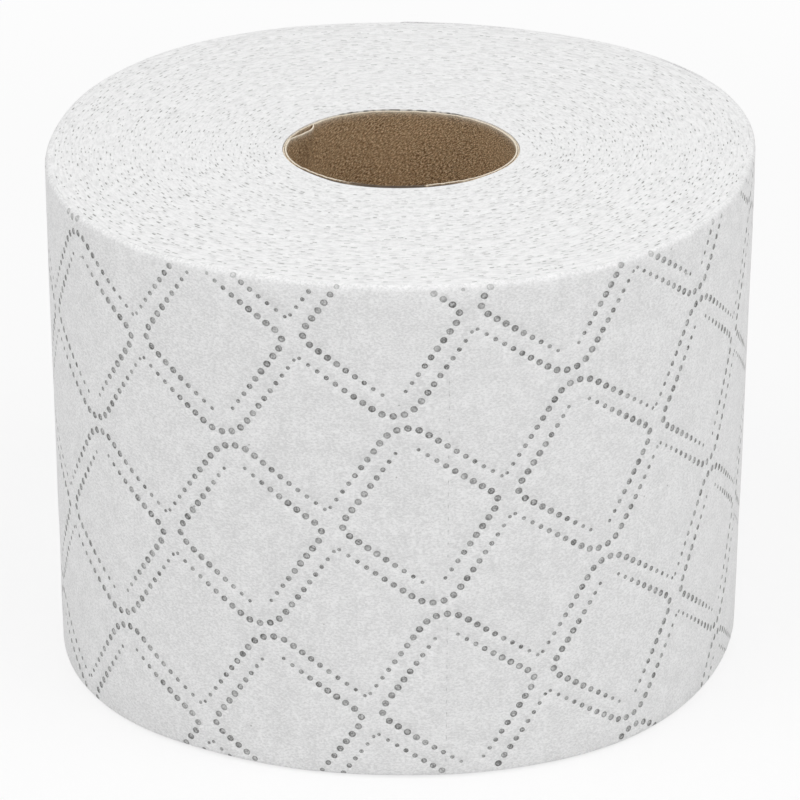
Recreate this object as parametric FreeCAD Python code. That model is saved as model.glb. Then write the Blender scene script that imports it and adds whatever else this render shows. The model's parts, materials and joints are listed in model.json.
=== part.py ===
import FreeCAD, Part
import math
import os

# Toilet paper roll standing on one sawn end, in millimetres.
# +Z runs up the axis of the winding and the origin is the centre of the lower end.
# -Y is the side that faces a viewer, and the glued tail of the sheet is behind, at +Y.

vector = FreeCAD.Vector
up = vector(0, 0, 1)

# Wound paper
sheet_width = 96.0              # length of the roll along its axis
outer_radius = 65.0             # over the last turn
sheet_thickness = 0.24          # two plies as wound, the height of the tail's step
shoulder_round = 2.0            # soft edge that the saw leaves round each end
shoulder_flats = 3              # flats that make up the round, as on pressed paper

# Cardboard core, cut through with the paper
core_bore_radius = 19.5
core_wall = 0.6

# Turns that stand out on the sawn ends
turn_spacing = 4.4
turn_groove_depth = 0.3
turn_groove_width = 0.7
plain_margin = 1.6              # flat paper left beside the core and beside each shoulder

# Fit
core_wrap_clearance = 0.05      # between the first turn and the core

core_outer_radius = core_bore_radius + core_wall
paper_bore_radius = core_outer_radius + core_wrap_clearance


def half_turn(face, centre_y, side):
    """Turn a section in the YZ plane half way round the axis through (0, centre_y).

    side +1 covers +X and side -1 covers -X. The section stands on the -Y side.
    """
    return face.revolve(vector(0, centre_y, 0), up, 180.0 * side)


def shoulder_points(radius, centre_y):
    """Points round the lower shoulder, from the end up to the outside, on a quarter circle."""
    points = []
    for step in range(shoulder_flats + 1):
        angle = math.radians(90.0 * step / shoulder_flats)
        y = centre_y - radius + shoulder_round * (1 - math.sin(angle))
        points.append(vector(0, y, shoulder_round * (1 - math.cos(angle))))
    return points


def paper_section(radius, centre_y):
    """Section of the winding from its axis out to radius, with both shoulders rounded."""
    low = shoulder_points(radius, centre_y)
    high = [vector(0, point.y, sheet_width - point.z) for point in reversed(low)]
    axis = [vector(0, centre_y, sheet_width), vector(0, centre_y, 0)]
    corners = low + high + axis
    return Part.Face(Part.makePolygon(corners + corners[:1]))


def winding():
    """The wound paper, one solid whose outline is one turn of a spiral.

    A half circle on +X meets a smaller half circle on -X smoothly in front. Behind,
    the two differ by one sheet, which is the step of the tail.
    """
    full_half = half_turn(paper_section(outer_radius, 0), 0, 1)
    inner_centre_y = -sheet_thickness / 2
    inner_radius = outer_radius - sheet_thickness / 2
    under_half = half_turn(paper_section(inner_radius, inner_centre_y), inner_centre_y, -1)
    return full_half.fuse(under_half)


def groove_section(radius, centre_y, end_z, inward):
    """V of one turn's edge on the -Y side, standing a little proud of the end."""
    middle = centre_y - radius
    half_width = turn_groove_width / 2
    proud = turn_groove_depth / 2
    spread = half_width * (turn_groove_depth + proud) / turn_groove_depth
    corners = [
        vector(0, middle - spread, end_z - inward * proud),
        vector(0, middle, end_z + inward * turn_groove_depth),
        vector(0, middle + spread, end_z - inward * proud),
    ]
    return Part.Face(Part.makePolygon(corners + corners[:1]))


def spiral_groove(end_z, inward):
    """One spiral line of half turns, from the shoulder in to the core."""
    pieces = []
    radius = outer_radius - shoulder_round - plain_margin
    innermost = paper_bore_radius + plain_margin + turn_spacing
    while radius > innermost:
        pieces.append(half_turn(groove_section(radius, 0, end_z, inward), 0, 1))
        centre_y = -turn_spacing / 2
        inner_radius = radius - turn_spacing / 2
        pieces.append(half_turn(groove_section(inner_radius, centre_y, end_z, inward), centre_y, -1))
        radius -= turn_spacing
    return pieces


def make_paper_roll():
    solid = winding()
    solid = solid.cut(Part.makeCylinder(paper_bore_radius, sheet_width))
    solid = solid.cut(spiral_groove(0, 1) + spiral_groove(sheet_width, -1))
    return solid


def make_core_tube():
    wall = Part.makeCylinder(core_outer_radius, sheet_width)
    return wall.cut(Part.makeCylinder(core_bore_radius, sheet_width))


pieces = {
    "paper_roll": make_paper_roll(),
    "core_tube": make_core_tube(),
}

os.makedirs("parts", exist_ok=True)
for name, shape in pieces.items():
    solid = shape.Solids[0]
    print(name, len(shape.Solids), "solid, valid", solid.isValid(), "volume", round(solid.Volume, 1))
    solid.exportStep("parts/" + name + ".step")
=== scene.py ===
# Toilet paper roll standing on a sawn end: dotted outer turn, sawn turns and a board core.
# Shapes are worked out in millimetres and filled in as metres.
import json
import math

import bpy
import numpy as np
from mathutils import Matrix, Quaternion, Vector
from mathutils.geometry import delaunay_2d_cdt


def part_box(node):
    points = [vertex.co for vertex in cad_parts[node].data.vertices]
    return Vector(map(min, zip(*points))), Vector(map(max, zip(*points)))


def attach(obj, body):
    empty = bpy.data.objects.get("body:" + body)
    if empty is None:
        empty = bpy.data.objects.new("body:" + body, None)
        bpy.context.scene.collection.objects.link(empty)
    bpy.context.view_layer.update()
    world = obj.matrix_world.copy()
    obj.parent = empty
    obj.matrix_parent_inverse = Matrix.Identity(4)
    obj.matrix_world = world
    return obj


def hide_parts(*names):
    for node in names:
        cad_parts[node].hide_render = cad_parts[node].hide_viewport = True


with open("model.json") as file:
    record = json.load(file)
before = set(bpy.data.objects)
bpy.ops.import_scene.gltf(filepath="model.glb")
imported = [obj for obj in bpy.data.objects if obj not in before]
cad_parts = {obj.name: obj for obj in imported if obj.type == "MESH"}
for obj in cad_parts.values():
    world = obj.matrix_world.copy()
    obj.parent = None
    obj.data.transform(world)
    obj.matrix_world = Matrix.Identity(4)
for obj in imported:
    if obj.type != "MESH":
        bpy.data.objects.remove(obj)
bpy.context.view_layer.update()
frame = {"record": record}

mm = 0.001
turn = 2 * math.pi

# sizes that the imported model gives
paperLow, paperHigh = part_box("paper_roll")
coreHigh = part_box("core_tube")[1]
rollHeight = round((paperHigh[2] - paperLow[2]) / mm, 2)
rollRadius = round(max(paperHigh[0], paperHigh[1]) / mm, 2)
coreRadius = round(max(coreHigh[0], coreHigh[1]) / mm, 2)
boreRadius = next(m["dims"]["r_mm"] for m in frame["record"]["mounts"] if m["name"] == "core_bore")
halfTurn = math.pi * rollRadius  # along the sheet, from the front to the tail behind
print("roll", rollRadius, rollHeight, "core", coreRadius, boreRadius)

rollForm = {
    "sheetThickness": 0.24,
    "shoulder": 1.0,        # radius of the soft edge round each end
    "ringFlat": 0.1,        # flat of the outer turns inside the shoulder
    "ringGap": 0.03,        # line between the outer turns and the rest
    "flare": 0.0267,        # how much wider the top is than the bottom, as a share
    "droop": 0.34,          # how far the rims sink towards the outside, and less in front
    "droopFrom": 0.9,       # share of the radius where that starts
    "outline": ((2, -0.0097, 0.0087), (3, 0.0, 0.0049), (4, -0.0124, 0.0084)),
    "mouthAcross": 20.79,   # half width of the core's pressed mouth
    "mouthDeep": 18.54,     # half depth of it, front to back
    "mouthBack": -1.17,     # how far the mouth sits towards the front
    "mouthFlats": ((3, 0.006, 0.4), (5, 0.004, 1.9), (6, 0.004, 0.2)),
    "lowerShare": 0.3,      # how much of the press is left at the lower end
}


def smooth(x):
    # smoothstep of x held between 0 and 1
    x = np.clip(x, 0, 1)
    return x * x * (3 - 2 * x)


def ripple(angle, height, seed, turns):
    # sum of cosines of up to that many waves round the roll, drifting with the height, near -1 to 1
    draw = np.random.default_rng(seed)
    count = 12
    total = 0
    for _ in range(count):
        around = draw.integers(1, turns + 1)
        rise = draw.normal(0, 0.12)
        total = total + np.cos(around * angle + rise * height + draw.uniform(0, turn))
    return total / math.sqrt(count / 2) / 2


def flareFactor(height):
    # wider towards the top
    return 1 + rollForm["flare"] * (height / rollHeight - 0.5)


def outlineFactor(angle, height):
    # waves round the outline times the flare
    waves = 1 + sum(c * np.cos(k * angle) + s * np.sin(k * angle) for k, c, s in rollForm["outline"])
    return waves * flareFactor(height)


def mouthFactor(angle):
    # an ellipse in polar form over the round bore, with slight flats pressed into it
    a, b = rollForm["mouthAcross"], rollForm["mouthDeep"]
    oval = a * b / np.sqrt((b * np.cos(angle)) ** 2 + (a * np.sin(angle)) ** 2)
    flats = sum(size * np.cos(k * angle + phase) for k, size, phase in rollForm["mouthFlats"])
    return oval / boreRadius + flats


def pressed(radius, angle, height):
    # moves a point of the round roll to the soft, slightly pressed one: the factor runs from the
    # mouth's at the core to the outline's outside, in proportion to the radius
    share = (radius - boreRadius) / (rollRadius - boreRadius)
    fade = rollForm["lowerShare"] + (1 - rollForm["lowerShare"]) * smooth(height / rollHeight)
    inner = 1 + (mouthFactor(angle) - 1) * fade
    factor = inner * (1 - share) + outlineFactor(angle, height) * share
    shift = rollForm["mouthBack"] * fade * (1 - share)
    x, y = radius * factor * np.cos(angle), radius * factor * np.sin(angle) + shift
    start = rollForm["droopFrom"]
    rim = smooth((radius / rollRadius - start) / (1 - start)) * rollForm["droop"]
    upper, lower = smooth(10 * height / rollHeight - 9), smooth(1 - 10 * height / rollHeight)
    return np.stack([x, y, height + rim * (lower - upper * (0.65 + 0.35 * np.sin(angle)))], -1)


# mesh helpers

def triangulated(flat, kept):
    # Delaunay triangles of points in a plane, as indices into the same points, with some edges kept
    _, _, faces, origins, _, _ = delaunay_2d_cdt(flat.tolist(), kept.tolist(), [], 0, 1e-7)
    first = np.array([found[0] for found in origins])
    return first[np.array(faces)]


def facing(points, faces, outward):
    # turns the triangles that look away from the outward direction at their first corner
    a, b, c = (points[faces[:, k]] for k in range(3))
    wrong = (np.cross(b - a, c - a) * outward[faces[:, 0]]).sum(1) < 0
    return np.where(wrong[:, None], faces[:, ::-1], faces)


def strip(first, second):
    # quads between two rows of as many vertices
    return np.stack([first[:-1], first[1:], second[1:], second[:-1]], 1)


def closedStrip(first, second):
    # the same between two rings
    return strip(np.append(first, first[:1]), np.append(second, second[:1]))


def loopEdges(rings, axis):
    # pairs of neighbours in closed rings of vertex numbers that run along that axis
    return np.stack([rings, np.roll(rings, -1, axis)], 2).reshape(-1, 2)


def apartFrom(points, centres, reach):
    # which points lie further than reach from every centre
    keep = np.ones(len(points), bool)
    for start in range(0, len(points), 1500):
        block = points[start:start + 1500, None, :] - centres[None, :, :]
        keep[start:start + 1500] = ((block**2).sum(-1) > reach[None, :] ** 2).all(1)
    return keep


def pieceFrom(name, points, faces, material, values=None, vectors=None, charts=None, border=None):
    # a mesh with its point attributes, UV maps worked out from each corner and its face, and
    # sharp edges between the vertices of its border
    mesh = bpy.data.meshes.new(name)
    mesh.from_pydata((points * mm).tolist(), [], faces)
    for label, array in (values or {}).items():
        mesh.attributes.new(label, "FLOAT", "POINT").data.foreach_set("value", array.astype(np.float32))
    for label, array in (vectors or {}).items():
        data = mesh.attributes.new(label, "FLOAT_VECTOR", "POINT").data
        data.foreach_set("vector", array.astype(np.float32).ravel())
    corners = np.empty(len(mesh.loops), np.int32)
    mesh.loops.foreach_get("vertex_index", corners)
    owner = np.repeat(np.arange(len(faces)), [len(face) for face in faces])
    for label, chart in (charts or {}).items():
        spots = chart(corners, owner)
        mesh.uv_layers.new(name=label).data.foreach_set("uv", spots.astype(np.float32).ravel())
    mesh.shade_smooth()
    if border is not None:
        ends = np.empty(2 * len(mesh.edges), np.int32)
        mesh.edges.foreach_get("vertices", ends)
        both = border[ends.reshape(-1, 2)].all(1)
        mesh.attributes.new("sharp_edge", "BOOLEAN", "EDGE").data.foreach_set("value", both)
    mesh.materials.append(material)
    piece = bpy.data.objects.new(name, mesh)
    bpy.context.collection.objects.link(piece)
    print(name, len(mesh.vertices), "vertices", len(mesh.polygons), "faces")
    return piece


# shader helpers

class Wire:
    # an output socket: +, - and * on it add Math nodes
    def __init__(self, paint, socket):
        self.paint, self.socket = paint, socket

    def math(self, operation, *values):
        inputs = dict(enumerate((self,) + values))
        return self.paint.add("Math", {"operation": operation}, inputs)

    def __add__(self, other):
        return self.math("ADD", other)

    def __sub__(self, other):
        return self.math("SUBTRACT", other)

    def __mul__(self, other):
        return self.math("MULTIPLY", other)

    def __rsub__(self, other):
        return self.paint.add("Math", {"operation": "SUBTRACT"}, {0: other, 1: self})

    __radd__ = __add__
    __rmul__ = __mul__

    def held(self):
        return self.paint.add("Clamp", {}, {"Value": self})

    def between(self, low, high):
        # 0 at low, 1 at high, smooth
        settings = {"interpolation_type": "SMOOTHSTEP"}
        return self.paint.add("MapRange", settings, {"Value": self, "From Min": low, "From Max": high})


class Paint:
    # the nodes of a new material, or of a world
    def __init__(self, owner):
        self.owner = bpy.data.materials.new(owner) if isinstance(owner, str) else owner
        self.owner.use_nodes = True
        self.tree = self.owner.node_tree
        self.tree.nodes.clear()

    def add(self, kind, settings, inputs, output=0):
        node = self.tree.nodes.new("ShaderNode" + kind)
        for key, value in settings.items():
            setattr(node, key, value)
        for key, value in inputs.items():
            if isinstance(value, Wire):
                self.tree.links.new(value.socket, node.inputs[key])
            else:
                node.inputs[key].default_value = value
        return Wire(self, node.outputs[output]) if node.outputs else None

    def own(self, output="Object"):
        return self.add("TexCoord", {}, {}, output)

    def value(self, name):
        return self.add("Attribute", {"attribute_name": name}, {}, "Fac")

    def vector(self, name):
        return self.add("Attribute", {"attribute_name": name}, {}, "Vector")

    def chart(self, name):
        return self.add("UVMap", {"uv_map": name}, {}, "UV")

    def scaled(self, place, factors):
        return self.add("VectorMath", {"operation": "MULTIPLY"}, {0: place, 1: factors})

    def noise(self, place, scale, detail=3.0, rough=0.55):
        inputs = {"Vector": place, "Scale": scale, "Detail": detail, "Roughness": rough}
        return self.add("TexNoise", {}, inputs, "Fac")

    def mixed(self, share, first, second):
        return self.add("Mix", {"data_type": "RGBA"}, {0: share, 6: first, 7: second}, 2)

    def bump(self, height, strength, distance):
        return self.add("Bump", {}, {"Height": height, "Strength": strength, "Distance": distance})

    def finish(self, colour, normal, roughness, sheen=0.0):
        inputs = {"Base Color": colour, "Roughness": roughness, "Normal": normal,
                  "Specular IOR Level": 0.25, "Sheen Weight": sheen}
        surface = self.add("BsdfPrincipled", {}, inputs)
        self.add("OutputMaterial", {}, {"Surface": surface})
        return self.owner


def colour(red, green, blue):
    # an sRGB colour from 0 to 255 as linear values
    linear = []
    for part in (red, green, blue):
        part /= 255
        linear.append(part / 12.92 if part < 0.04045 else ((part + 0.055) / 1.055) ** 2.4)
    return (*linear, 1.0)


tissueLook = {
    "white": (249, 249, 249),
    "shade": (222, 222, 222),   # darker patches of the fibre
    # pit: darkness of a dot's ring, partly the plies pressed together and partly painted shade of the dot's
    # wall
    "pit": (92, 92, 90),        # where a dot presses the plies together
    # slit: painted shade in the dots that the saw opens, also used for the darker line along the core behind
    "slit": (138, 138, 135),    # where the saw opens a dot
    # streak: painted shade in the low lines between bundles of turns
    "streak": (206, 206, 206),  # between bundles of turns
    "speck": (120, 116, 110),
    "cloudsPerMetre": 300,
    "fibresPerMetre": 1900,
    "fibreHeight": 0.00014,
    "specksPerMetre": 230.0,    # cells, of which about one in seven has a speck
    "streakHeight": 0.00018,
}


def tissueBase(paint, place, strength):
    # cloudy white: noise of two sizes between white and shade
    look = tissueLook
    clouds = paint.noise(place, look["cloudsPerMetre"], 3.0, 0.6)
    level = paint.scaled(place, (1.0, 1.0, 1.7))
    fibres = paint.noise(level, look["fibresPerMetre"], 4.0, 0.7)
    patchy = (clouds * 0.2 + fibres * 0.8).between(0.36, 0.64)
    patchy = patchy * strength + (1 - strength) * 0.75
    return paint.mixed(patchy, colour(*look["shade"]), colour(*look["white"])), clouds, fibres


def specked(paint, place, base):
    # a few dark specks: small discs about the points of some cells
    cells = {"Vector": place, "Scale": tissueLook["specksPerMetre"]}
    nearest = paint.add("TexVoronoi", {"feature": "F1"}, cells, "Distance")
    chance = paint.add("TexVoronoi", {"feature": "F1"}, cells, "Color")
    parts = paint.add("SeparateColor", {}, {"Color": chance}, "Red")
    speck = (1 - nearest.between(0.02, 0.05)) * parts.between(0.84, 0.88)
    return paint.mixed(speck * 0.6, base, colour(*tissueLook["speck"]))


def sheetPaint():
    # outer turn: the pit value darkens the ring that each dot presses, partly for the pressed plies
    # and partly as painted shade of the dot's wall
    paint = Paint("embossedTissue")
    place = paint.own()
    base, clouds, fibres = tissueBase(paint, place, 1.0)
    base = specked(paint, place, base)
    pit = paint.value("pit").held()
    base = paint.mixed(pit, base, colour(*tissueLook["pit"]))
    # the fibres lie smoother round the shoulders
    height = paint.add("SeparateXYZ", {}, {"Vector": place}, "Z") - rollHeight * mm / 2
    rim = height.math("ABSOLUTE").between((rollHeight / 2 - 2.2) * mm, (rollHeight / 2 - 0.6) * mm)
    normal = paint.bump((clouds * 0.5 + fibres * 0.5) * (1 - 0.8 * rim), 0.5, tissueLook["fibreHeight"])
    return paint.finish(base, normal, 0.92, 0.1)


def sawnPaint():
    # sawn ends: noise drawn out round the roll gives the edges of the turns
    paint = Paint("sawnTissue")
    base, _, fibres = tissueBase(paint, paint.own(), 0.35)
    streak = paint.noise(paint.vector("around"), 1.0, 3.0, 0.6)
    fine = paint.noise(paint.scaled(paint.vector("around"), (2.4, 2.0, 2.0)), 1.0, 2.0, 0.5)
    # darker where the streak noise is low, which is also where the bump is low: painted shade between
    # bundles of turns
    base = paint.mixed((0.56 - streak).between(0.0, 0.2) * 0.42, base, colour(*tissueLook["streak"]))
    # the slit value paints shade into the dots that the saw opens, and the darker line along the core
    slit = paint.value("slit").between(0.0, 0.6)
    base = paint.mixed(slit, base, colour(*tissueLook["slit"]))
    height = streak * 0.6 + fine * 0.3 + fibres * 0.1
    normal = paint.bump(height, 0.42, tissueLook["streakHeight"])
    return paint.finish(base, normal, 0.94, 0.1)


boardLook = {
    "brown": (196, 164, 127),
    "dark": (108, 83, 56),      # fibres and the seam
    "pale": (248, 224, 184),    # single light fibres
    "edge": (238, 227, 208),    # sawn edge
    # torn: colour of the torn front edge, and painted shade in the narrow gap between core and paper
    "torn": (104, 94, 84),
    "fibreHeight": 0.0002,
}


def boardPaint():
    # core board: short fibres drawn out along the slant of the winding, the butt seam, and a pale
    # sawn edge that frays a little way down the bore
    paint = Paint("coreBoard")
    slant = paint.chart("winding")
    broad = paint.noise(slant, 0.12, 3.0, 0.6)
    grain = paint.noise(paint.scaled(slant, (1.25, 3.9, 1.0)), 1.0, 4.0, 0.75)
    fleck = paint.noise(paint.scaled(slant, (2.2, 5.6, 1.0)), 1.0, 2.0, 0.5)
    look = boardLook
    base = paint.mixed(grain.between(0.42, 0.57), colour(*look["dark"]), colour(*look["brown"]))
    base = paint.mixed(fleck.between(0.52, 0.63) * 0.8, base, colour(*look["pale"]))
    base = paint.mixed((1 - fleck.between(0.34, 0.43)) * 0.8, base, colour(*look["dark"]))
    base = paint.mixed(broad.between(0.35, 0.7) * 0.25, base, colour(*look["brown"]))
    half = core["seamPitch"] / 2
    away = paint.add("SeparateXYZ", {}, {"Vector": slant}, "Y").math("WRAP", half, -half)
    seam = 1 - away.math("ABSOLUTE").between(0.05, 0.22)
    base = paint.mixed(seam * 0.6, base, colour(*look["dark"]))
    frayed = paint.value("sawn") * (fleck * 1.6 + 0.25)
    base = paint.mixed(frayed.held(), base, colour(*look["edge"]))
    # the torn value darkens the torn front edge, partly as painted shade in the gap to the paper, and paints
    # shade over the outer ply's outer face, seen only through that gap
    base = paint.mixed(paint.value("torn"), base, colour(*look["torn"]))
    normal = paint.bump(grain * 0.6 + fleck * 0.4 - seam, 0.7, look["fibreHeight"])
    return paint.finish(base, normal, 0.88)


# the outer turn with its dotted diamonds

emboss = {
    "tilt": 10.9,               # degrees that the diamonds lean
    "middle": (-27.45, 45.83),  # centre of one diamond, along the sheet and up it
    "across": (31.1, 6.26),     # from there to the next one beside it
    "down": (7.085, -36.25),    # and to the next one below
    "pitch": 1.94,              # from dot to dot
    "wingTip": 13.9,            # single dot at a diamond's left and right corners
    "wingStart": (13.02, 1.78),
    "capDots": ((0.99, 17.1), (2.84, 16.4)),
    "capStart": (4.37, 15.12),
    "armDots": 9,
    "fullDots": 4,              # dots of a wing before it starts to taper
    "bigRadius": 0.63,
    "smallRadius": 0.33,
    "large": 0.45,              # radius above which a dot gets more points
    "depth": 0.2,
    "pillow": 0.14,
    # lip, rim and wall of a dot: share of its radius and depth, darkness (painted shade of the wall, and the
    # pressed plies), and how uneven that is
    "rings": ((1.1, 0.0, 0.0, 0.0), (0.9, 0.45, 0.95, 0.2), (0.5, 1.0, 0.62, 0.8)),
}
lip = emboss["rings"][0][0]


def diamondDots():
    # one diamond about its centre: four arms at 45 degrees run in from the side corners, and four
    # run out from the rounded caps, each a row of dots that shrinks away from its corner
    e = emboss
    step = e["pitch"] / math.sqrt(2)
    k = np.arange(e["armDots"])
    last = e["armDots"] - 1
    fade = np.clip((k - e["fullDots"] + 1) / (last - e["fullDots"] + 1), 0, 1)
    wingSize = e["bigRadius"] + (e["smallRadius"] - e["bigRadius"]) * fade
    capSize = e["bigRadius"] + (e["smallRadius"] - e["bigRadius"]) * k / last
    wing = np.stack([e["wingStart"][0] - step * k, e["wingStart"][1] + step * k, wingSize], 1)
    arm = np.stack([e["capStart"][0] + step * k, e["capStart"][1] - step * k, capSize], 1)
    cap = np.array([(u, w, e["bigRadius"]) for u, w in e["capDots"]])
    tips = np.array([(e["wingTip"], 0, e["bigRadius"]), (-e["wingTip"], 0, e["bigRadius"])])
    quarter = np.concatenate([wing, arm, cap])
    signs = [(1, 1), (1, -1), (-1, 1), (-1, -1)]
    return np.concatenate([quarter * (su, sw, 1) for su, sw in signs] + [tips])


def leaned(points):
    # turns points about the origin by the lean of the diamonds
    a = math.radians(emboss["tilt"])
    turned = np.array([[math.cos(a), math.sin(a)], [-math.sin(a), math.cos(a)]])
    return points @ turned


def diamondCentres(first, last, low, high):
    # centres of the diamonds whose dots reach the strip between low and high on the sheet
    across, down = np.array(emboss["across"]), np.array(emboss["down"])
    reach = across[0] - down[1]
    columns = np.arange(math.floor((first - reach) / across[0]), math.ceil((last + reach) / across[0]))
    most = 5 + int(across[1] * len(columns) / -down[1])
    rows = np.arange(-most, most + 1)
    centres = np.array(emboss["middle"]) + columns[:, None, None] * across + rows[None, :, None] * down
    centres = centres.reshape(-1, 2)
    inside = (centres[:, 0] > first - reach) & (centres[:, 0] < last + reach)
    inside &= (centres[:, 1] > low + down[1]) & (centres[:, 1] < high - down[1])
    return centres[inside]


def sheetDots(first, last, low, high, spread=False):
    # every dot of the sheet between those limits: place along it, place up it, radius; the flare
    # of the outside spreads the dots near the top over less of the turn
    dots = diamondDots()
    centres = diamondCentres(first, last, low, high)
    spots = (centres[:, None, :] + leaned(dots[:, :2])[None, :, :]).reshape(-1, 2)
    sizes = np.tile(dots[:, 2], len(centres))
    if spread:
        spots[:, 0] /= flareFactor(spots[:, 1])
    inside = (spots[:, 0] > first) & (spots[:, 0] < last) & (spots[:, 1] > low) & (spots[:, 1] < high)
    return spots[inside], sizes[inside]


def separate(spots, sizes):
    # leaves out each dot that would touch an earlier one
    gap = np.hypot(*np.moveaxis(spots[:, None, :] - spots[None, :, :], -1, 0))
    close = gap < lip * (sizes[:, None] + sizes[None, :]) + 0.1
    keep = ~np.tril(close, -1).any(1)
    return spots[keep], sizes[keep]


def pillow(along, up):
    # the sheet swells between the rows of dots: the root of a product of cosines, nil on the rows
    steps = np.array([emboss["across"], emboss["down"]])
    offset = np.stack([along, up], -1) - np.array(emboss["middle"])
    a, b = np.moveaxis(offset @ np.linalg.inv(steps), -1, 0)
    return emboss["pillow"] * np.sqrt(np.abs(np.cos(math.pi * (a + b)) * np.cos(math.pi * (a - b))))


def dotRings(spots, sizes, sides, seed):
    # rings of points round each dot and one in its middle, as a place, a depth and a darkness, partly the
    # pressed plies and partly painted shade of the dot's wall, that is uneven on the floor, where the plies
    # stick together in places
    draw = np.random.default_rng(seed)
    spin = draw.uniform(0, turn, (len(spots), 1))
    angles = spin + np.arange(sides) * turn / sides
    strength = draw.uniform(0.78, 1.12, (len(spots), 1))
    size = sizes[:, None]
    deepness = np.sqrt(size / emboss["bigRadius"]) * emboss["depth"]
    points, depths, pits = [], [], []
    for share, depth, pit, spread in emboss["rings"]:
        radius = size * share * draw.normal(1, 0.04, angles.shape)
        ring = spots[:, None, :] + radius[..., None] * np.stack([np.cos(angles) * 1.04, np.sin(angles)], -1)
        points.append(ring.reshape(-1, 2))
        depths.append((depth * deepness + 0 * angles).ravel())
        pits.append((pit * strength * draw.uniform(1 - spread, 1 + 0.5 * spread, angles.shape)).ravel())
    points.append(spots)
    depths.append((0.85 * deepness)[:, 0])
    floor = np.where(sizes < emboss["large"], 0.95, draw.uniform(0.3, 0.95, len(spots)))
    pits.append(strength[:, 0] * floor)
    points, pits = np.concatenate(points), np.concatenate(pits)
    # fainter by the upper shoulder, where the turn is not pulled tight
    return points, np.concatenate(depths), pits * (1 - 0.45 * smooth((points[:, 1] - rollHeight + 3) / 3))


perforation = {
    "firstLine": 8.5,           # along the sheet from the front
    "cut": 1.5,
    "bond": 0.9,
    "width": 0.2,
    "depth": 0.12,
    # darkness of the middle of each cut: painted shade in the cut
    "pit": 0.5,
}


def perforationPoints(spots, sizes, low, high):
    # short cuts one above the other, each with two tips, two sides and a middle that lies deeper
    # and carries painted shade of the cut
    p = perforation
    sheet = (halfTurn - p["firstLine"]) / 2
    lines = [p["firstLine"] + sheet * k for k in (-2, -1, 0, 1)]
    up = np.arange(low, high, p["cut"] + p["bond"])
    middles = np.array([(line, height) for line in lines for height in up])
    middles = middles[apartFrom(middles, spots, sizes + p["cut"] / 2 + 0.15)]
    tall, wide = p["cut"] / 2, p["width"] / 2
    corners = np.array([(0, tall), (0, -tall), (wide, 0), (-wide, 0), (0, 0)])
    points = (middles[:, None, :] + corners[None]).reshape(-1, 2)
    deep = np.tile([0, 0, 0, 0, 1.0], len(middles))
    return points, deep * p["depth"], deep * p["pit"], middles


# the flat sheet reaches round both shoulders to the ends
shoulderArc = rollForm["shoulder"] * math.pi / 2
sheetTop = rollHeight - rollForm["shoulder"] + shoulderArc + rollForm["ringFlat"]
sheetLow = rollHeight - sheetTop
ringInside = rollRadius - rollForm["shoulder"] - rollForm["ringFlat"] - rollForm["ringGap"]


def profile(up):
    # a place up the sheet as an offset in radius, a height and the tilt of the surface there:
    # straight up the side, round the shoulder on a quarter circle, then flat along the end
    bend = rollForm["shoulder"]
    above = np.maximum(up - (rollHeight - bend), 0)
    below = np.maximum(bend - up, 0)
    tilt = np.minimum(above / bend, math.pi / 2) - np.minimum(below / bend, math.pi / 2)
    flat = np.maximum(np.maximum(above, below) - shoulderArc, 0)
    offset = -bend * (1 - np.cos(tilt)) - flat
    rise = bend * np.sin(np.abs(tilt))
    height = np.where(up > rollHeight / 2, rollHeight - bend + rise, bend - rise)
    middle = (above <= 0) & (below <= 0)
    return offset, np.where(middle, up, height), tilt


tail = {
    "flap": 9.0,                # loose length up to the torn edge
    "lift": 0.22,
    "glueLine": 15.0,           # from the torn edge
    "glueWidth": 2.2,
    "dip": 0.06,                # how far the glue draws the sheet in
    "teeth": 0.22,
    "toothPitch": 2.4,
}


def sheetPoint(along, up, lift):
    # where a place on the flat sheet comes to lie: the turn gains one thickness on its way round
    offset, height, tilt = profile(up)
    share = 0.5 - along / (2 * halfTurn)
    rise = smooth((along - halfTurn + tail["flap"]) / tail["flap"]) * tail["lift"]
    uneven = 0.55 + 0.45 * np.sin(up * 0.13 + 0.8) * np.sin(up * 0.041 + 2.1)
    glue = np.exp(-(((along - halfTurn + tail["glueLine"]) / tail["glueWidth"]) ** 2)) * tail["dip"]
    lift = lift + rise * uneven - glue * (0.6 + 0.4 * np.sin(up * 0.9))
    radius = rollRadius - rollForm["sheetThickness"] * share + offset + lift * np.cos(tilt)
    angle = -math.pi / 2 + along / rollRadius
    return pressed(radius, angle, height + lift * np.sin(tilt))


outerMesh = {
    "bigSides": 10,             # points in each ring of a large dot
    "smallSides": 8,
    "dotInset": 1.0,            # no dot's middle is nearer to the tail's edge
    "dotInsetUp": 0.95,         # or to the edges on the ends
    "step": 2.3,                # between background points on the side
    "shoulderStep": 1.15,
    "shoulderRows": 5,
    "columnStep": 0.8,
    "columnInset": 0.6,
    "borderAcross": 401,        # points along the upper and lower border
    "borderUp": 121,
}


def laidOut(along, up):
    # points of the flat sheet from places along it and up it
    return np.stack(np.broadcast_arrays(along, up), -1).reshape(-1, 2)


def sheetBackground(draw):
    # a jittered grid on the side, rows round the shoulders, and a column beside each edge of the
    # sheet, so that the shade of a dot's wall ends there
    m = outerMesh
    places = np.arange(-halfTurn + 1.2, halfTurn - 1, m["step"])
    grid = laidOut(*np.meshgrid(places, np.arange(3.2, rollHeight - 3, m["step"])))
    grid = grid + draw.uniform(-0.35, 0.35, grid.shape)
    rows = np.linspace(0.1, shoulderArc, m["shoulderRows"])
    heights = np.concatenate([rollHeight - rollForm["shoulder"] + rows, rollForm["shoulder"] - rows])
    places = np.arange(-halfTurn + 0.8, halfTurn - 0.5, m["shoulderStep"])
    shoulders = laidOut(*np.meshgrid(places, heights))
    column = np.arange(3.2, rollHeight - 3, m["columnStep"])
    beside = [laidOut(m["columnInset"] - halfTurn, column), laidOut(halfTurn - m["columnInset"], column)]
    return np.concatenate([grid, shoulders] + beside)


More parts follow.
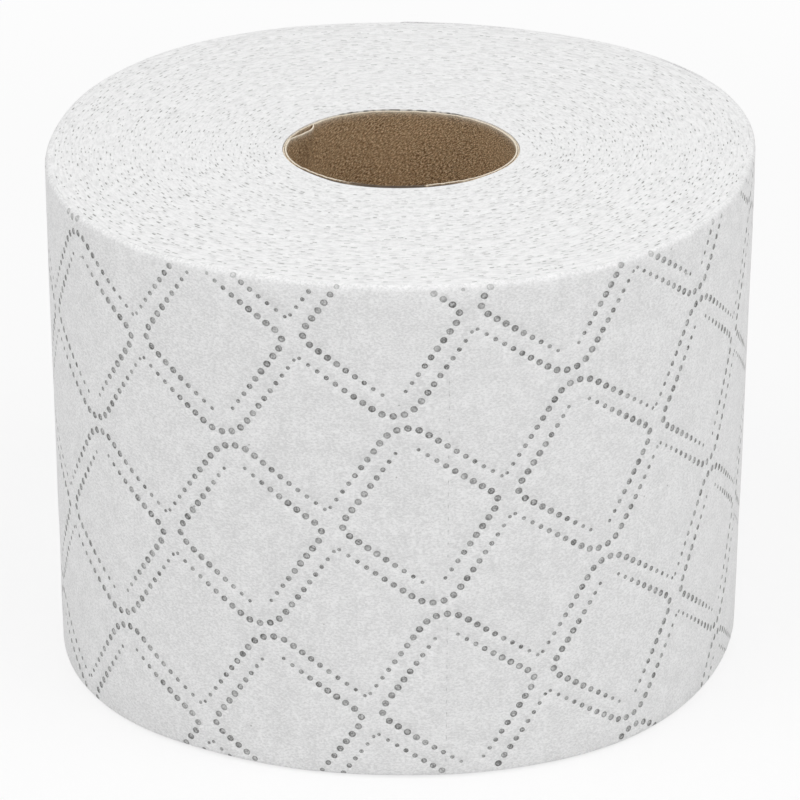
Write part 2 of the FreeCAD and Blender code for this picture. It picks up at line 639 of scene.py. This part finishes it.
def makeOuterTurn(material):
    m = outerMesh
    reach = halfTurn - m["dotInset"]
    spots, sizes = sheetDots(-reach, reach, sheetLow + m["dotInsetUp"], sheetTop - m["dotInsetUp"], True)
    spots, sizes = separate(spots, sizes)
    big = sizes > emboss["large"]
    sets = [dotRings(spots[big], sizes[big], m["bigSides"], 11),
            dotRings(spots[~big], sizes[~big], m["smallSides"], 12)]
    *slits, middles = perforationPoints(spots, sizes, 1.0, rollHeight - 1.0)
    sets.append(slits)
    loose = sheetBackground(np.random.default_rng(13))
    loose = loose[apartFrom(loose, spots, sizes * lip + 0.25)]
    loose = loose[apartFrom(loose, middles, np.full(len(middles), 0.85))]

    # the border, with the same places along it above and below, and the same heights left and right
    across = np.linspace(-halfTurn, halfTurn, m["borderAcross"])
    side = np.linspace(sheetLow, sheetTop, m["borderUp"])[1:-1]
    border = [laidOut(across, sheetLow), laidOut(across, sheetTop)]
    border += [laidOut(-halfTurn, side), laidOut(halfTurn, side)]
    flat = [part[0] for part in sets] + [loose] + border
    starts = np.cumsum([0] + [len(part) for part in flat])
    plain = starts[-1] - starts[len(sets)]
    depth = np.concatenate([part[1] for part in sets] + [np.zeros(plain)])
    pit = np.concatenate([part[2] for part in sets] + [np.zeros(plain)])
    flat = np.concatenate(flat)

    along, up = flat.T
    swell = pillow(along, up) * smooth((up - 1) / 8) * smooth((rollHeight - 1 - up) / 8)
    sway = 0.1 * ripple(along / rollRadius, up, 21, 14) * smooth((halfTurn - abs(along)) / 8)
    points = sheetPoint(along, up, swell + sway - depth)
    # the torn edge of the tail has small teeth along the perforation
    torn = np.isclose(along, halfTurn)
    teeth = tail["teeth"] * np.sin(up[torn] * turn / tail["toothPitch"]) / rollRadius
    x, y = points[torn, :2].T
    cos, sin = np.cos(teeth), np.sin(teeth)
    points[torn, 0], points[torn, 1] = x * cos - y * sin, x * sin + y * cos

    # the lip of each dot is kept as edges, or a long triangle here and there reaches into a pit
    lips = [first + np.arange(count * sides).reshape(count, sides) for first, count, sides
            in ((starts[0], big.sum(), m["bigSides"]), (starts[1], (~big).sum(), m["smallSides"]))]
    triangles = triangulated(flat, np.concatenate([loopEdges(rings, 1) for rings in lips]))
    tilt = profile(up)[2]
    direction = -math.pi / 2 + along / rollRadius
    outward = np.stack([np.cos(tilt) * np.cos(direction), np.cos(tilt) * np.sin(direction), np.sin(tilt)], 1)
    triangles = facing(points, triangles, outward)

    base = len(sets) + 1
    low = np.arange(starts[base], starts[base + 1])
    top = np.arange(starts[base + 1], starts[base + 2])
    left = np.concatenate([low[:1], np.arange(starts[base + 2], starts[base + 3]), top[:1]])
    right = np.concatenate([low[-1:], np.arange(starts[base + 3], starts[base + 4]), top[-1:]])
    inside = strip(low, top)                # hidden wall towards the other turns
    step = strip(left, right)               # cut edge of the tail
    seam = np.array([[low[-1], low[0], top[0], top[-1]]])
    faces = triangles.tolist() + inside.tolist() + step.tolist() + seam.tolist()

    def chart(corners, owner):
        # two bands of the OFBake map, the left half of the sheet over the right half
        centre = np.zeros(len(faces))
        centre[:len(triangles)] = flat[triangles, 0].mean(1)
        row = (centre > 0).astype(float)[owner]
        u = (flat[corners, 0] + halfTurn * (1 - row)) / halfTurn
        v = (flat[corners, 1] - sheetLow) / (sheetTop - sheetLow)
        hidden = owner >= len(triangles)
        u = np.where(hidden, 0.02 + 0.001 * v, 0.04 + u * 0.92)
        return np.stack([u, np.where(hidden, 0.01 + 0.001 * v, 0.02 + (row + v * 0.96) * 0.48)], 1)

    edge = np.arange(len(points)) >= starts[base]
    return pieceFrom("outer_turn", points, faces, material, {"pit": pit}, {}, {"OFBake": chart}, edge)


# the sawn turns inside it

def frontStretch(angle):
    # 1 along the front of the bore, where paper and core have come apart
    degrees = np.degrees(angle)
    return smooth((degrees + 140) / 18) * smooth((-38 - degrees) / 16)


sawnEnds = {
    "turnPitch": 0.165,         # a web of some 73 m
    "slitHalfWidth": 0.18,
    "slitDepth": 0.3,
    "slitTip": 1.15,            # where its outline ends, in half lengths from the middle
    "wander": 0.6,              # how unevenly the turns are pulled along
    "overcut": 0.2,             # dots that the saw misses by this much open too
    "relief": 0.07,
    "gap": 0.06,                # least gap round the core
    "frontGap": 0.4,            # and how much more of it there is at the front
    "darkLine": 0.55,              # broken dark line along the paper behind the core
    "step": 1.25,               # between rings of background points
    "border": 360,              # points round each border circle
}


def clearSlits(middle, forward, sideways, chord, width):
    # which slits overlap no earlier one, taken as boxes along their turns
    count = len(middle)
    keep = np.ones(count, bool)
    for start in range(0, count, 500):
        own = slice(start, start + 500)
        offset = middle[own, None, :] - middle[None, :, :]
        along = abs((offset * forward[own, None, :]).sum(-1))
        along = along - sawnEnds["slitTip"] * (chord[own, None] + chord[None, :])
        aside = abs((offset * sideways[own, None, :]).sum(-1)) - width[own, None] - width[None, :]
        earlier = np.arange(count)[None, :] < np.arange(count)[own, None]
        keep[own] = ~((along < 0.06) & (aside < 0.12) & earlier).any(1)
    return keep


def cutDots(cutHeight, seed):
    # where the saw runs through dots: the whole web is laid out, and each dot near the cut gives
    # a slit at its turn, as long as the chord of the dot there
    s = sawnEnds
    inner, outer = coreRadius + 1.3, ringInside - 0.45
    length = math.pi * (rollRadius**2 - inner**2) / s["turnPitch"]
    spots, sizes = sheetDots(halfTurn - length, halfTurn, cutHeight - 0.9, cutHeight + 0.9)
    chord = (sizes + s["overcut"]) ** 2 - (spots[:, 1] - cutHeight) ** 2
    spots, chord = spots[chord > 0.06], 0.85 * np.sqrt(chord[chord > 0.06])
    wound = halfTurn - spots[:, 0]
    radius = np.sqrt(rollRadius**2 - s["turnPitch"] * wound / math.pi)
    angle = math.pi / 2 - turn * (rollRadius - radius) / s["turnPitch"]
    keep = (radius > inner) & (radius < outer)
    radius, angle, chord = radius[keep], angle[keep], chord[keep]
    draw = np.random.default_rng(seed)
    angle = angle + draw.normal(0, s["wander"], len(angle)) / radius
    radius = radius + draw.normal(0, s["turnPitch"] / 2, len(radius))
    return radius, angle, chord * draw.uniform(0.8, 1.3, len(chord))


def endPoints(cutHeight, seed):
    # one sawn end, laid out flat: slits, rings of background points and the two border circles
    s = sawnEnds
    radius, angle, chord = cutDots(cutHeight, seed)
    draw = np.random.default_rng(seed + 1)
    width = s["slitHalfWidth"] * draw.uniform(0.75, 1.15, len(chord))
    middle = np.stack([radius * np.cos(angle), radius * np.sin(angle)], 1)
    forward = np.stack([-np.sin(angle), np.cos(angle)], 1)
    sideways = np.stack([np.cos(angle), np.sin(angle)], 1)
    clear = clearSlits(middle, forward, sideways, chord, width)
    middle, forward, sideways = middle[clear], forward[clear], sideways[clear]
    chord, width, angle = chord[clear], width[clear], angle[clear]
    print("slits", len(clear), "kept", len(chord))
    # six corners round each slit and three points along its middle: how far along, aside and deep
    tip = s["slitTip"]
    corners = ((tip, 0, 0), (0.75, 1, 0), (-0.75, 1, 0), (-tip, 0, 0), (-0.75, -1, 0), (0.75, -1, 0),
               (0.6, 0, 1), (0, 0, 1), (-0.6, 0, 1))
    kept = loopEdges(np.arange(6 * len(chord)).reshape(6, -1), 0)
    # the open dots face outwards, so their painted shade is made strongest in front and faint behind
    back = np.sin(angle)
    strength = draw.uniform(0.35, 0.9, len(chord)) * (1.45 - 0.72 * smooth(back + 1) + 0.15 * smooth(back))
    points = [middle + forward * (chord * a)[:, None] + sideways * (width * b)[:, None]
              for a, b, _ in corners]
    slit = np.concatenate([strength * c for _, _, c in corners])
    depth = np.concatenate([s["slitDepth"] * (c > 0.5) * strength for _, _, c in corners])

    inner, outer = coreRadius + s["gap"], ringInside
    loose = []
    for ring in np.arange(inner + 0.7, outer - 0.4, s["step"]):
        count = int(turn * ring / 1.5)
        places = (np.arange(count) + draw.uniform()) * turn / count
        uneven = ring + draw.uniform(-0.25, 0.25, count)
        loose.append(np.stack([uneven * np.cos(places), uneven * np.sin(places)], 1))
    loose = np.concatenate(loose)
    loose = loose[apartFrom(loose, middle, chord * tip + 0.1)]
    around = np.arange(s["border"]) * turn / s["border"]
    circle = np.stack([np.cos(around), np.sin(around)], 1)
    wider = inner + s["frontGap"] * frontStretch(around - turn * (around > math.pi))
    narrower = outer - 0.14 * smooth(ripple(around, 0, seed + 5, 23) * 1.5)
    beside = (wider + 0.3)[:, None] * circle
    degrees = np.degrees(around)
    # a darker broken line on the paper along the core, at the back
    darkLine = smooth((degrees - 48) / 14) * smooth((132 - degrees) / 14)
    darkLine = darkLine * s["darkLine"] * smooth(0.75 + ripple(around, 0, seed + 6, 110))
    flat = np.concatenate(points + [loose, beside, wider[:, None] * circle, narrower[:, None] * circle])
    none = np.zeros_like(around)
    slit = np.concatenate([slit, np.zeros(len(loose)), none, darkLine * (cutHeight > 0), none])
    return flat, slit, np.append(depth, np.zeros(len(flat) - len(depth))), kept


def endRelief(radius, angle, seed):
    # bundles of turns stand a little proud or low: slow waves along the radius, drifting round
    draw = np.random.default_rng(seed)
    total = 0
    for _ in range(14):
        wave = turn / draw.uniform(1.6, 9.0)
        total = total + np.cos(wave * radius + draw.integers(-2, 3) * angle + draw.uniform(0, turn))
    return sawnEnds["relief"] * total / 3.4


def makeWoundTurns(material):
    parts, circle = [], sawnEnds["border"]
    for cut, sign, seed in ((rollHeight, 1, 31), (0.0, -1, 41)):
        flat, slit, depth, kept = endPoints(cut, seed)
        radius, angle = np.hypot(flat[:, 0], flat[:, 1]), np.arctan2(flat[:, 1], flat[:, 0])
        edge = smooth((radius - coreRadius) / 3) * smooth((rollRadius - rollForm["shoulder"] - radius) / 3)
        relief = endRelief(radius, angle, seed + 2) * edge
        if sign < 0:
            relief = -np.abs(relief)       # nothing reaches below the end that it stands on
        points = pressed(radius, angle, cut + sign * (relief - depth))
        triangles = triangulated(flat, kept)
        ring = len(flat) - 2 * circle
        hole = ((triangles >= ring) & (triangles < ring + circle)).all(1)
        triangles = facing(points, triangles[~hole], np.tile([0, 0, float(sign)], (len(flat), 1)))
        around = np.stack([radius * 2.1, np.cos(angle) * 24, np.sin(angle) * 24 + 70 * (sign < 0)], 1)
        parts.append((points, triangles, slit, around))
    (topPoints, topFaces, topSlit, topAround), (lowPoints, lowFaces, lowSlit, lowAround) = parts
    count = len(topPoints)
    total = count + len(lowPoints)
    topInner, topOuter = np.arange(count - 2 * circle, count).reshape(2, -1)
    lowInner, lowOuter = np.arange(total - 2 * circle, total).reshape(2, -1)
    walls = np.concatenate([closedStrip(lowOuter, topOuter), closedStrip(topInner, lowInner)])
    faces = topFaces.tolist() + (lowFaces + count).tolist() + walls.tolist()
    points = np.concatenate([topPoints, lowPoints])
    slit, around = np.concatenate([topSlit, lowSlit]), np.concatenate([topAround, lowAround])

    def chart(corners, owner):
        # both ends side by side, each in its own square of the OFBake map
        lower = (corners >= count).astype(float)
        u = 0.25 + points[corners, 0] / rollRadius * 0.235 + 0.5 * lower
        v = 0.5 + points[corners, 1] / rollRadius * 0.47
        hidden = owner >= len(topFaces) + len(lowFaces)
        return np.stack([np.where(hidden, 0.001, u), np.where(hidden, 0.001, v)], 1)

    border = np.zeros(len(points), bool)
    border[np.concatenate([topInner, topOuter, lowInner, lowOuter])] = True
    values, vectors = {"slit": slit}, {"around": around}
    return pieceFrom("wound_turns", points, faces, material, values, vectors, {"OFBake": chart}, border)


# the core

core = {
    "plyThickness": 0.3,
    "slope": 35.0,              # degrees of the winding over level
    "seamPitch": 70.27,         # across the winding, from seam to seam
    "seamStart": 168.0,         # degrees round the mouth where the seam reaches the sawn edge
    "liftFrom": 144.0,          # where the inner ply stands off, to the left behind
    "liftTo": 168.5,
    "lift": 1.4,
    "liftDepth": 9.0,
    "tornFrom": -131.0,         # where the edge is torn at the front
    "tornTo": -75.5,
    "tornLow": 0.35,
    "tornIn": 1.15,             # how far it leans in there
    "cutIn": 0.36,              # and how far beyond the tear, up to the bend
    "leftIn": 0.25,             # and to the left of it
    "bend": -42.0,
    "behindIn": 0.05,
    "fray": 0.4,                # how far down the bore the pale edge fades out
    "stepsRound": 480,
}


def tornShare(angle):
    # 1 along the torn stretch, which ends in a clean step to the right
    degrees = np.degrees(angle)
    return smooth((degrees - core["tornFrom"]) / 22) * smooth((core["tornTo"] - degrees) / 0.8)


def besideTear(angle):
    # 1 where only the inner ply reaches the cut: right of the tear up to the bend, and left of it
    degrees = np.degrees(angle)
    right = smooth((degrees - core["tornTo"]) / 0.8) * smooth((core["bend"] - degrees) / 26)
    return right, smooth((degrees + 156) / 8) * smooth((-112 - degrees) / 14)


def edgeShift(angle):
    # how far the edge of the core draws in from the paper: the torn front, the stretch up to the
    # bend beside it, a little at the front left, and in places behind
    degrees = np.degrees(angle)
    cut, left = besideTear(angle)
    broken = 0.55 + 0.3 * np.sin(0.43 * degrees) + 0.25 * np.sin(0.17 * degrees + 1)
    behind = smooth((degrees - 52) / 12) * smooth((138 - degrees) / 12) * broken
    front = -core["tornIn"] * tornShare(angle) - core["cutIn"] * cut
    return front - core["leftIn"] * left - core["behindIn"] * behind


def plyShift(angle, height):
    # how far the inner ply stands off the outer one, fading down the bore
    degrees = np.degrees(angle)
    share = np.clip((degrees - core["liftFrom"]) / (core["liftTo"] - core["liftFrom"]), 0, 1)
    bulge = np.sin(share**0.7 * math.pi) ** 1.15
    return -core["lift"] * bulge * smooth((height - rollHeight + core["liftDepth"]) / core["liftDepth"])


def makePly(name, innerNominal, outerNominal, isInner, material):
    # a tube as a closed grid: down the inside, out under the lower edge, up the outside and in
    # over the sawn edge, carried round the axis
    count = core["stepsRound"]
    around = (np.arange(count) / count - 0.5) * turn
    near = np.array([0.0, 0.12, 0.3, 0.6, 1.0, 1.6, 2.4, 3.4, 4.6, 6, 8, 10.5, 14])
    down = np.concatenate([rollHeight - near, np.linspace(rollHeight - 20, 6, 20), [2.0, 0.3, 0.0]])
    share = np.concatenate([np.zeros(len(down)), [0.5], np.ones(len(down)), [0.5]])
    height = np.concatenate([down, [0.0], down[::-1], [rollHeight]])
    depth = np.meshgrid(around, rollHeight - height)[1]
    angle, share = np.meshgrid(around, share)
    fade = smooth(1 - depth / 13)
    radius = innerNominal + (outerNominal - innerNominal) * share + edgeShift(angle) * fade
    if isInner:
        radius = radius + plyShift(angle, rollHeight - depth) - 0.07 * smooth(1 - depth / 3)
    low = core["tornLow"] * tornShare(angle) + 0.05 + 0.05 * ripple(angle, 0, 51 + isInner, 60)
    low = low + (0 if isInner else 0.16)
    height = rollHeight - depth - np.maximum(low, 0) * fade
    points = pressed(radius, angle, height).reshape(-1, 3)
    rows = len(share)
    index = np.arange(rows * count).reshape(rows, count)
    faces = np.concatenate([closedStrip(index[k], index[(k + 1) % rows]) for k in range(rows)])[:, ::-1]

    slope = math.radians(core["slope"])
    start = math.radians(core["seamStart"]) * boreRadius * math.sin(slope) + rollHeight * math.cos(slope)
    column = np.tile(np.arange(count), rows)
    drop = depth.ravel()

    def winding(corners, owner):
        # along and across the slant, with the last column's far side one whole turn on
        last = (owner % count == count - 1) & (column[corners] == 0)
        level = ((column[corners] + count * last) / count - 0.5) * turn * boreRadius
        up = rollHeight - drop[corners]
        along = level * math.cos(slope) - up * math.sin(slope)
        return np.stack([along, level * math.sin(slope) + up * math.cos(slope) - start], 1)

    torn = tornShare(angle)
    if not isInner:
        torn = np.maximum(torn, sum(besideTear(angle)))
    ends = np.minimum(depth, rollHeight - depth)
    sawn = np.exp(-ends / core["fray"]) * (1 - torn * (depth < 50)) * np.where(share > 0.9, ends < 0.05, 1)
    # shaded: the torn front, and on the outer ply the stretches beside it, fading down from the edge, partly
    # painted shade in the gap to the paper; and painted shade over the outer ply's outer face below its
    # edge, seen only through that gap
    shaded = torn * np.exp(-depth) + (share > 0.9) * (depth > 0.05) * (not isInner)
    values = {"sawn": sawn.ravel() * (1.0 if isInner else 0.8), "torn": np.minimum(shaded, 1).ravel()}
    return pieceFrom(name, points, faces.tolist(), material, values, charts={"winding": winding})


sheetMaterial = sheetPaint()
sawnMaterial = sawnPaint()
boardMaterial = boardPaint()
print("materials done")

outerTurn = makeOuterTurn(sheetMaterial)
woundTurns = makeWoundTurns(sawnMaterial)
ply = core["plyThickness"]
outerPly = makePly("core_outer_ply", coreRadius - ply, coreRadius, False, boardMaterial)
innerPly = makePly("core_inner_ply", boreRadius, coreRadius - ply - 0.01, True, boardMaterial)

for piece, node, slot in ((outerTurn, "paper_roll", "tissue"), (woundTurns, "paper_roll", "tissue"),
                          (outerPly, "core_tube", "core_board"), (innerPly, "core_tube", "core_board")):
    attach(piece, "root")
    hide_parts(node)
print("pieces done")


# floor, light and camera

studio = {
    "floorHalf": 3.0,
    "floorWhite": 0.9,
    "shadeKept": 0.22,          # share of the real shade that the camera sees on the floor
    "shadeOut": (0.16, 0.5),    # metres over which the floor fades to plain white
    "skyLow": 0.27,             # light from level with the floor
    "skyRise": 0.56,            # and how much more from overhead
    "lamps": ((-0.45, -0.36, 0.8, 2.05), (0.47, -0.36, 0.8, 2.4)),     # place and power
    "lampSize": 0.7,
}


def plainRays(paint):
    # 1 for the rays that show the plain background: the camera's, and those in metal and glass
    kinds = ("Camera", "Glossy", "Transmission")
    seen, mirrored, through = (paint.add("LightPath", {}, {}, "Is %s Ray" % kind) for kind in kinds)
    return (seen + mirrored + through).held()


def makeFloor():
    # white where the camera sees it, with part of the real shade kept
    mesh = bpy.data.meshes.new("floor")
    half = studio["floorHalf"]
    corners = [(-half, -half, 0), (half, -half, 0), (half, half, 0), (-half, half, 0)]
    mesh.from_pydata(corners, [], [(0, 1, 2, 3)])
    floor = bpy.data.objects.new("floor", mesh)
    bpy.context.collection.objects.link(floor)
    paint = Paint("paleFloor")
    diffuse = paint.add("BsdfDiffuse", {}, {"Color": (studio["floorWhite"],) * 3 + (1,)})
    glow = paint.add("Emission", {}, {"Color": (1, 1, 1, 1), "Strength": 1.0})
    seen = plainRays(paint)
    away = paint.add("VectorMath", {"operation": "LENGTH"}, {0: paint.own()}, "Value")
    share = away.between(*studio["shadeOut"]) * studio["shadeKept"] + (1 - studio["shadeKept"])
    both = paint.add("MixShader", {}, {0: seen * share, 1: diffuse, 2: glow})
    paint.add("OutputMaterial", {}, {"Surface": both})
    mesh.materials.append(paint.owner)


def makeSky():
    # even light that grows towards overhead, and plain white for the camera
    world = bpy.data.worlds.new("studio")
    bpy.context.scene.world = world
    paint = Paint(world)
    direction = paint.own("Generated")
    overhead = paint.add("SeparateXYZ", {}, {"Vector": direction}, "Z").held()
    strength = overhead * studio["skyRise"] + studio["skyLow"]
    soft = paint.add("Background", {}, {"Color": (1, 1, 1, 1), "Strength": strength})
    white = paint.add("Background", {}, {"Color": (1, 1, 1, 1), "Strength": 1.0})
    both = paint.add("MixShader", {}, {0: plainRays(paint), 1: soft, 2: white})
    paint.add("OutputWorld", {}, {"Surface": both})


def makeLamp(x, y, z, power):
    # a wide round lamp turned to the roll
    data = bpy.data.lights.new("lamp", "AREA")
    data.shape = "DISK"
    data.size = studio["lampSize"]
    data.energy = power
    lamp = bpy.data.objects.new("lamp", data)
    bpy.context.collection.objects.link(lamp)
    lamp.location = (x, y, z)
    away = lamp.location - Vector((0, 0, 0.05))
    lamp.rotation_euler = away.to_track_quat("Z", "Y").to_euler()


camera = {
    "distance": 1.2046,     # metres from the point that it looks at
    "aim": 0.04549,         # height of that point on the axis
    "elevation": 23.904,    # degrees
    "roll": 0.179,
    "focalPixels": 6526.7,  # for a picture 800 wide
    "pictureWidth": 800,
    "sensor": 36.0,
}


def makeCamera():
    # stands in front of the roll, above it, and looks at a point on its axis
    data = bpy.data.cameras.new("camera")
    data.sensor_width = camera["sensor"]
    data.lens = camera["focalPixels"] / camera["pictureWidth"] * camera["sensor"]
    data.clip_start, data.clip_end = 0.05, 20
    seat = bpy.data.objects.new("camera", data)
    bpy.context.collection.objects.link(seat)
    tilt = math.radians(camera["elevation"])
    away = camera["distance"]
    seat.location = (0, -away * math.cos(tilt), camera["aim"] + away * math.sin(tilt))
    seat.rotation_mode = "QUATERNION"
    level = Quaternion((1, 0, 0), math.pi / 2 - tilt)
    seat.rotation_quaternion = level @ Quaternion((0, 0, 1), math.radians(camera["roll"]))
    bpy.context.scene.camera = seat


makeFloor()
makeSky()
for lamp in studio["lamps"]:
    makeLamp(*lamp)
makeCamera()
bpy.context.scene.view_settings.view_transform = "Standard"
print("studio done")
